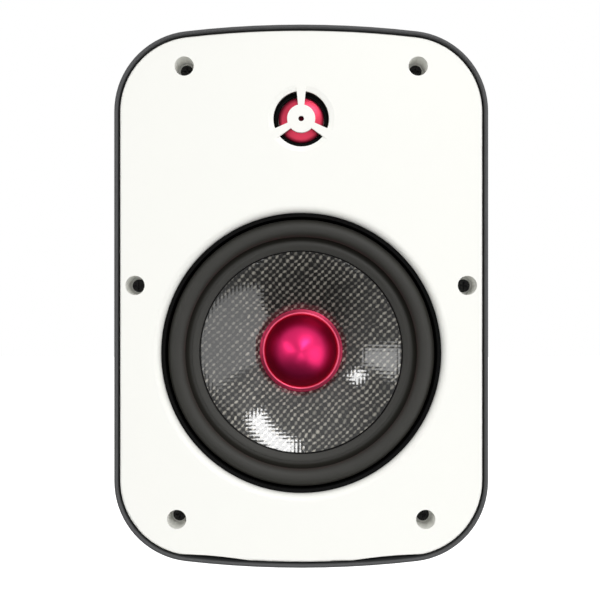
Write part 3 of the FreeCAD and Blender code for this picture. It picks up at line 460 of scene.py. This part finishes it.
def woven(name):
    """Plain weave of silver and black threads under clear lacquer, with painted shade that takes out the
    silver on the cone's left.
    """
    made = new_material(name, WEAVE_TONE, WEAVE_ROUGHNESS, 0.0, LACQUER)
    tree = made.node_tree
    shader = shader_of(made)
    grid = split(tree, place(tree, (1 / THREAD_W,) * 3))
    drift = ranged(tree, noise(tree, DRIFT_SIZE, DRIFT_DETAIL), -DRIFT, DRIFT)
    lift = ranged(tree, noise(tree, DRIFT_SIZE, DRIFT_DETAIL, DRIFT_STRETCH), -DRIFT, DRIFT)
    across = calc(tree, "ADD", grid["X"], drift)
    up = calc(tree, "ADD", grid["Z"], lift)
    flat = node(tree, "CombineXYZ", Z=CELL_MIDDLE)
    tree.links.new(across, flat.inputs["X"])
    tree.links.new(up, flat.inputs["Y"])
    check = node(tree, "TexChecker", Scale=1.0)
    tree.links.new(flat.outputs["Vector"], check.inputs["Vector"])
    in_row = calc(tree, "SUBTRACT", calc(tree, "FRACT", up), CELL_MIDDLE)
    slanted = calc(tree, "SUBTRACT", across, calc(tree, "MULTIPLY", in_row, THREAD_SLANT))
    side = arched(tree, slanted, THREAD_SIDE_POWER)
    crown = calc(tree, "MULTIPLY", side, arched(tree, up, THREAD_END_POWER))
    upright = noise(tree, FIBRE_W, FIBRE_DETAIL, (1, FIBRE_ALONG, FIBRE_ALONG))
    level = noise(tree, FIBRE_W, FIBRE_DETAIL, (FIBRE_ALONG, FIBRE_ALONG, 1))
    fibres = ranged(tree, upright, FIBRE_DARKEST, 1.0)
    cell = node(tree, "VectorMath", operation="FLOOR")
    tree.links.new(flat.outputs["Vector"], cell.inputs[0])
    chance = node(tree, "TexWhiteNoise", noise_dimensions="2D")
    tree.links.new(cell.outputs["Vector"], chance.inputs["Vector"])
    uneven = ranged(tree, chance.outputs["Value"], SILVER_LEAST, SILVER_MOST)
    # Painted shade on the cone's left, fading downwards: the silver is taken out there
    beside = rising(tree, across, -LEFT_PAINTED_SHADE_FULL / THREAD_W, -LEFT_PAINTED_SHADE_START / THREAD_W, 1.0, 0.0)
    above = rising(tree, up, (WOOFER_Z - LEFT_PAINTED_SHADE_FALL) / THREAD_W, WOOFER_Z / THREAD_W, 0.0, LEFT_PAINTED_SHADE)
    clear = calc(tree, "SUBTRACT", 1.0, calc(tree, "MULTIPLY", beside, above))
    silver = crown
    for share in (fibres, check.outputs["Fac"], uneven, clear):
        silver = calc(tree, "MULTIPLY", silver, share)
    black = mixed(tree, level, BLACK_LOW_TONE, BLACK_HIGH_TONE)
    tree.links.new(mixed(tree, silver, black, SILVER_TONE), shader.inputs["Base Color"])
    tree.links.new(ranged(tree, silver, 0.0, SILVER_METAL), shader.inputs["Metallic"])
    return made


def tone_ring(made, inner, outer, colour, fade, dulled, middle_z):
    """Paints a ring of light or shade about an axis along Y, fading in inside its inner radius, and
    takes off a gloss.
    """
    tree = made.node_tree
    shader = shader_of(made)
    point = split(tree, place(tree))
    across = calc(tree, "POWER", point["X"], 2.0)
    up = calc(tree, "POWER", calc(tree, "SUBTRACT", point["Z"], middle_z), 2.0)
    reach = calc(tree, "SQRT", calc(tree, "ADD", across, up))
    begun = rising(tree, reach, inner - fade, inner, 0.0, 1.0)
    on_ring = calc(tree, "MULTIPLY", begun, calc(tree, "LESS_THAN", reach, outer))
    base = shader.inputs["Base Color"]
    tree.links.new(mixed(tree, on_ring, base.links[0].from_socket, colour), base)
    if dulled:
        gloss = shader.inputs[dulled]
        before = gloss.links[0].from_socket if gloss.links else gloss.default_value
        level = calc(tree, "MULTIPLY", calc(tree, "SUBTRACT", 1.0, on_ring), before)
        tree.links.new(level, gloss)


DULL = {"Specular IOR Level": 0.1}

# Colour, roughness, metal, mottle, the grain's size and depth in millimetres, and other shader values
GRAINED = {
    "white_plastic": ((0.93, 0.93, 0.885), 0.42, 0.0, 0.006, 0.35, 0.004),
    "charcoal_plastic": ((0.058, 0.059, 0.061), 0.5, 0.0, 0.08, 0.7, 0.05),
    "black_plastic": ((0.014, 0.014, 0.014), 0.42, 0.0, 0.1, 0.5, 0.02),
    "red_plastic": ((0.55, 0.02, 0.03), 0.35, 0.0, 0.05, 0.6, 0.01),
    "black_foam": ((0.005, 0.005, 0.005), 0.95, 0.0, 0.3, 0.6, 0.2, DULL),
    "black_rubber": ((0.0205, 0.0197, 0.0158), 0.55, 0.0, 0.12, 0.4, 0.03),
    "pink_metal": ((0.80, 0.026, 0.150), 0.36, 1.0, 0.03, 0.25, 0.001),
    "red_metal": ((0.68, 0.055, 0.105), 0.36, 1.0, 0.03, 0.25, 0.001),
    "black_silk": ((0.004, 0.004, 0.004), 0.8, 0.0, 0.2, 0.3, 0.02, DULL),
    "bare_aluminium": ((0.75, 0.75, 0.76), 0.35, 1.0, 0.03, 0.3, 0.004),
    "copper": ((0.72, 0.36, 0.20), 0.3, 1.0, 0.08, 0.3, 0.01),
    "brass": ((0.80, 0.58, 0.25), 0.3, 1.0, 0.06, 0.3, 0.006),
    "spider_cloth": ((0.55, 0.36, 0.14), 0.85, 0.0, 0.15, 0.4, 0.1),
    "black_steel": ((0.004, 0.004, 0.004), 0.5, 0.0, 0.15, 0.4, 0.01, {"Specular IOR Level": 0.25}),
    "zinc_steel": ((0.62, 0.62, 0.60), 0.35, 1.0, 0.08, 0.5, 0.006),
    "ferrite": ((0.06, 0.06, 0.065), 0.6, 0.0, 0.2, 0.3, 0.02),
    "board": ((0.03, 0.20, 0.08), 0.4, 0.0, 0.1, 0.5, 0.01),
    "can_sleeve": ((0.03, 0.03, 0.10), 0.35, 0.0, 0.05, 0.6, 0.01),
    "white_ceramic": ((0.80, 0.79, 0.75), 0.8, 0.0, 0.06, 0.4, 0.05),
    "brown_board": ((0.30, 0.17, 0.07), 0.7, 0.0, 0.15, 0.4, 0.02),
}

# Finish, inner and outer radius, painted tone of light or shade, width of the fade, gloss taken off, and
# the height of the axis
PAINTED_LIGHT_RINGS = (
    ("pink_metal", CAP_FOOT_R, BEAD_IN_R, CAP_FOOT_PAINTED_REFLECTION, CAP_FOOT_FADE, None, WOOFER_Z),
    ("pink_metal", BEAD_IN_R, BEAD_OUT_R, BEAD_PAINTED_HIGHLIGHT, SHARP, None, WOOFER_Z),
    ("pink_metal", BEAD_OUT_R, CAP_R + BEAD_W, CAP_FLANGE_PAINTED_HIGHLIGHT, SHARP, None, WOOFER_Z),
    ("woven_cone", CONE_EDGE_IN_R, CONE_EDGE_OUT_R, GAP_PAINTED_SHADOW, SHARP, "Coat Weight", WOOFER_Z),
    ("black_rubber", ROLL_OUT_R, FLANGE_R, GAP_PAINTED_SHADOW, SHARP, "Specular IOR Level", WOOFER_Z),
    ("black_rubber", VALLEY_R, ROLL_IN_R, VALLEY_PAINTED_SHADE, VALLEY_FADE, "Specular IOR Level", WOOFER_Z),
    ("red_metal", DOME_R, DOME_R + BEAD_W, DOME_PAINTED_SHADE, DOME_FOOT_FADE, None, TWEETER_Z),
    ("red_metal", 0.0, HUB_SHADE_R, DOME_PAINTED_SHADE, SHARP, None, TWEETER_Z),
)
FINISHES = {slot: finish(slot, *values) for slot, values in GRAINED.items()}
FINISHES["woven_cone"] = woven("woven_cone")
for toned, *ring_values in PAINTED_LIGHT_RINGS:
    tone_ring(FINISHES[toned], *ring_values)
SLOTS = {part["node"]: part["material_slot"] for part in frame["record"]["subparts"]}


def dress(piece, slot, look=None):
    """Gives a new piece the finish of its slot in the record, or a closer look of its own."""
    piece.data.materials.clear()
    piece.data.materials.append(FINISHES[look or slot])


def dress_cad():
    """Gives every CAD piece the finish of its slot in the record."""
    for name, slot in SLOTS.items():
        piece = nodes[name]
        if piece.material_slots:
            piece.material_slots[0].material = FINISHES[slot]
        else:
            piece.data.materials.append(FINISHES[slot])


def soften(*names):
    """Breaks the sharp edges of moulded or turned CAD pieces."""
    for name in names:
        weld = nodes[name].modifiers.new("weld", "WELD")
        weld.merge_threshold = WELD
        edge = nodes[name].modifiers.new("edge", "BEVEL")
        edge.width = EDGE_W
        edge.segments = EDGE_STEPS
        edge.limit_method = "ANGLE"
        edge.angle_limit = EDGE_TURN


# Soft and spun rings

def spun(name, body, middle_z):
    """Smooth copy of a turned CAD piece."""
    piece = turned(name + "_spun", section_of(name, middle_z), middle_z)
    dress(piece, SLOTS[name])
    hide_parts(name)
    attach(piece, body)


def soft_ring(name, middle_z, look=None):
    """Smooth turned copy of a rubber or cloth ring, in place of its CAD piece."""
    ring = turned(name + "_ring", section_of(name, middle_z), middle_z, SOFT_TURN)
    dress(ring, SLOTS[name], look)
    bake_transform(ring)
    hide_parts(name)


# Woofer

def cone_circle():
    """Centre and radius of the arc that the front of the cone follows."""
    span = CONE_R - FORMER_R
    chord = math.hypot(span, CONE_DEPTH)
    radius = (chord ** 2 / 4 + CONE_FLARE ** 2) / (2 * CONE_FLARE)
    reach = (radius - CONE_FLARE) / chord
    middle_r = (CONE_R + FORMER_R) / 2 + reach * CONE_DEPTH
    middle_y = cone_low.y + CONE_DEPTH / 2 + reach * span
    return middle_r, middle_y, radius


def cone_y(r, behind):
    """Y of the surface this far behind the front of the cone."""
    middle_r, middle_y, radius = cone_circle()
    return middle_y - np.sqrt((radius - behind) ** 2 - (r - middle_r) ** 2)


def weave_rise(x, z):
    """Height of the threads, from 0 in the gaps to 1 on the crowns, over a plain weave."""
    across = x / THREAD_W
    up = z / THREAD_W
    column = np.floor(across)
    row = np.floor(up)
    in_column = across - column - CELL_MIDDLE
    in_row = up - row - CELL_MIDDLE
    upright = (column + row) % 2 == 0
    side = np.where(upright, in_column, in_row)
    length = np.where(upright, in_row, in_column)
    bulge = CROWN_FLAT + (1 - CROWN_FLAT) * np.cos(math.pi * side)
    return bulge * np.cos(CROWN_DIP * math.pi * length)


def woven_cone():
    """Cone with the relief of its threads where it shows, plain under the cap and the surround."""
    fine = np.arange(WEAVE_IN_R, WEAVE_OUT_R, WEAVE_STEP)
    front = np.concatenate([[FORMER_R], fine, np.linspace(WEAVE_OUT_R, CONE_R, CONE_RIM_ROWS)])
    back = np.linspace(CONE_R, FORMER_R, CONE_BACK_ROWS)
    turn = full_turn(WEAVE_TURNS)
    radius = np.concatenate([front, back])[:, None]
    behind = np.concatenate([np.zeros(len(front)), np.full(len(back), CONE_T)])[:, None]
    raised = (behind == 0) & (radius > FORMER_R) & (radius < CONE_R)
    rise = weave_rise(radius * np.cos(turn), WOOFER_Z + radius * np.sin(turn))
    relief = np.where(raised, (1 - rise) * THREAD_CROWN, 0)
    cone = ringed("woven_cone", radius, cone_y(radius, behind + relief), turn, WOOFER_Z)
    dress(cone, "woven_cone")
    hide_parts("woofer_cone")
    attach(cone, "woofer_diaphragm")


# Terminals and bracket inserts

def contact_spring(side, lever):
    """Leaf spring on one side, split off the CAD springs as a piece of its own named after its lever."""
    work = bmesh.new()
    work.from_mesh(nodes["contact_springs"].data)
    other = [v for v in work.verts if v.co.x * side < 0]
    bmesh.ops.delete(work, geom=other, context="VERTS")
    spring = add_mesh(lever + "_spring", [], [])
    work.to_mesh(spring.data)
    work.free()
    cleaned(spring)
    dress(spring, SLOTS["contact_springs"])
    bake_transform(spring)
    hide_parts("contact_springs")


def lever_sign(lever, body, plus):
    """Raised plus or minus on the flat of a lever."""
    low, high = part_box(lever)
    long = SIGN_L / 2
    thin = SIGN_W / 2
    if plus:
        quarter = [(long, -thin), (long, thin), (thin, thin)]
        corners = list(quarter)
        for _ in range(3):
            quarter = [(-z, x) for x, z in quarter]
            corners += quarter
    else:
        corners = [(-long, -thin), (long, -thin), (long, thin), (-long, thin)]
    count = len(corners)
    points = []
    for y in (LEVER_FACE_Y, LEVER_FACE_Y + SIGN_RISE):
        points += [((low.x + high.x) / 2 + x, y, SIGN_Z + z) for x, z in corners]
    faces = [list(range(count)), list(range(count, 2 * count))]
    for i in range(count):
        after = (i + 1) % count
        faces.append([i, after, count + after, count + i])
    sign = cleaned(add_mesh(lever + "_sign", points, faces))
    dress(sign, "white_plastic")
    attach(sign, body)


def threaded_insert(name, middle_z):
    """Brass insert with the thread cut in its bore."""
    down = np.linspace(0, INSERT_L, round(INSERT_L / SCREW_PITCH) * SCREW_ROWS + 1)[:, None]
    turn = full_turn(SCREW_STEPS)
    phase = (down / SCREW_PITCH + turn / (2 * math.pi)) % 1
    bore = INSERT_BORE_R + SCREW_DEPTH * (1 - np.abs(2 * phase - 1))
    outside = np.full((2, SCREW_STEPS), INSERT_R)
    radius = np.concatenate([bore, outside])
    depth = np.concatenate([down, [[INSERT_L], [0]]])
    insert = ringed(name, radius, -depth, turn, middle_z)
    dress(insert, SLOTS["bracket_inserts"])
    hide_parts("bracket_inserts")
    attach(insert, "housing")


# Light, floor and camera

def softbox(name, way, gap, width, height, power):
    """Oblong lamp in this direction from the middle of the woofer, facing it."""
    aim = Vector((0, FACE_Y, WOOFER_Z))
    lamp = bpy.data.lights.new(name, "AREA")
    lamp.shape = "RECTANGLE"
    lamp.size = width
    lamp.size_y = height
    lamp.energy = power
    made = bpy.data.objects.new(name, lamp)
    way = Vector(way).normalized()
    made.location = aim + way * gap
    made.rotation_euler = way.to_track_quat("Z", "Y").to_euler()
    bpy.context.scene.collection.objects.link(made)


def shown(tree, behind):
    """1 for what the camera sees straight, and for what gloss and glass show of the ground behind."""
    path = node(tree, "LightPath").outputs
    mirrored = calc(tree, "MAXIMUM", path["Is Glossy Ray"], path["Is Transmission Ray"])
    return calc(tree, "MAXIMUM", path["Is Camera Ray"], calc(tree, "MULTIPLY", mirrored, behind))


def world():
    """Plain soft light, weaker from below, in front of a white ground."""
    made = bpy.data.worlds.new("studio")
    made.use_nodes = True
    tree = made.node_tree
    sky = tree.nodes["Background"]
    sky.inputs["Color"].default_value = (1, 1, 1, 1)
    way = split(tree, node(tree, "TexCoord").outputs["Generated"])
    behind = rising(tree, way["Y"], 0.0, BEHIND_FULL, 0.0, 1.0)
    room = rising(tree, way["Z"], GROUND_TOP, ROOM_FOOT, GROUND_LEVEL, ROOM_LEVEL)
    overhead = rising(tree, way["Z"], OVERHEAD_START, OVERHEAD_FULL, 0.0, OVERHEAD_EXTRA)
    level = calc(tree, "MAXIMUM", calc(tree, "ADD", room, overhead), shown(tree, behind))
    tree.links.new(level, sky.inputs["Strength"])
    bpy.context.scene.world = made


def pale_floor():
    """Pale paper that shows white to the camera but for the speaker's shadow."""
    made = new_material("pale_floor", FLOOR_TONE, FLOOR_ROUGHNESS)
    tree = made.node_tree
    shader = shader_of(made)
    shader.inputs["Emission Color"].default_value = (1, 1, 1, 1)
    y = split(tree, place(tree))["Y"]
    glow = rising(tree, y, 0.0, FAR_Y, NEAR_GLOW, FAR_GLOW)
    behind = rising(tree, y, BEHIND_START_Y, BEHIND_FULL_Y, 0.0, 1.0)
    tree.links.new(calc(tree, "MULTIPLY", shown(tree, behind), glow), shader.inputs["Emission Strength"])
    return made


def floor():
    """Floor below the speaker, which hangs on its wall mount."""
    z = cad_box[0].z - FLOOR_DROP
    points = [(side * FLOOR_HALF_W, y, z) for y in (FLOOR_FRONT_Y, FLOOR_BACK_Y) for side in (-1, 1)]
    made = add_mesh("floor", points, [(0, 1, 3, 2)])
    made.data.materials.append(pale_floor())


def camera():
    """Level camera straight in front of the speaker."""
    lens = bpy.data.cameras.new("camera")
    lens.sensor_width = SENSOR
    lens.lens = SENSOR * CAMERA_GAP / (FRAME_PX * PX)
    lens.clip_start = CAMERA_NEAR
    made = bpy.data.objects.new("camera", lens)
    middle = FRAME_PX / 2
    made.location = (
        (middle - OUTLINE_MIDDLE_PX[0]) * PX,
        cad_box[0].y - CAMERA_GAP,
        (OUTLINE_MIDDLE_PX[1] - middle) * PX,
    )
    made.rotation_euler = (math.pi / 2, 0, 0)
    bpy.context.scene.collection.objects.link(made)
    bpy.context.scene.camera = made


dress_cad()
soften("lever_red", "lever_black", "terminal_cup", "terminal_screws", "baffle_screws")
woven_cone()
spun("dust_cap", "woofer_diaphragm", WOOFER_Z)
spun("tweeter_dome", "tweeter_diaphragm", TWEETER_Z)
soft_ring("woofer_surround", WOOFER_Z)
soft_ring("woofer_spider", WOOFER_Z)
soft_ring("tweeter_surround", TWEETER_Z, "black_silk")
contact_spring(-1, "red_terminal_lever")
contact_spring(1, "black_terminal_lever")
lever_sign("lever_red", "red_terminal_lever", True)
lever_sign("lever_black", "black_terminal_lever", False)
threaded_insert("upper_insert", INSERT_PITCH / 2)
threaded_insert("lower_insert", -INSERT_PITCH / 2)
for values in LAMPS:
    softbox(*values)
world()
floor()
camera()
bpy.context.scene.view_settings.view_transform = "Standard"
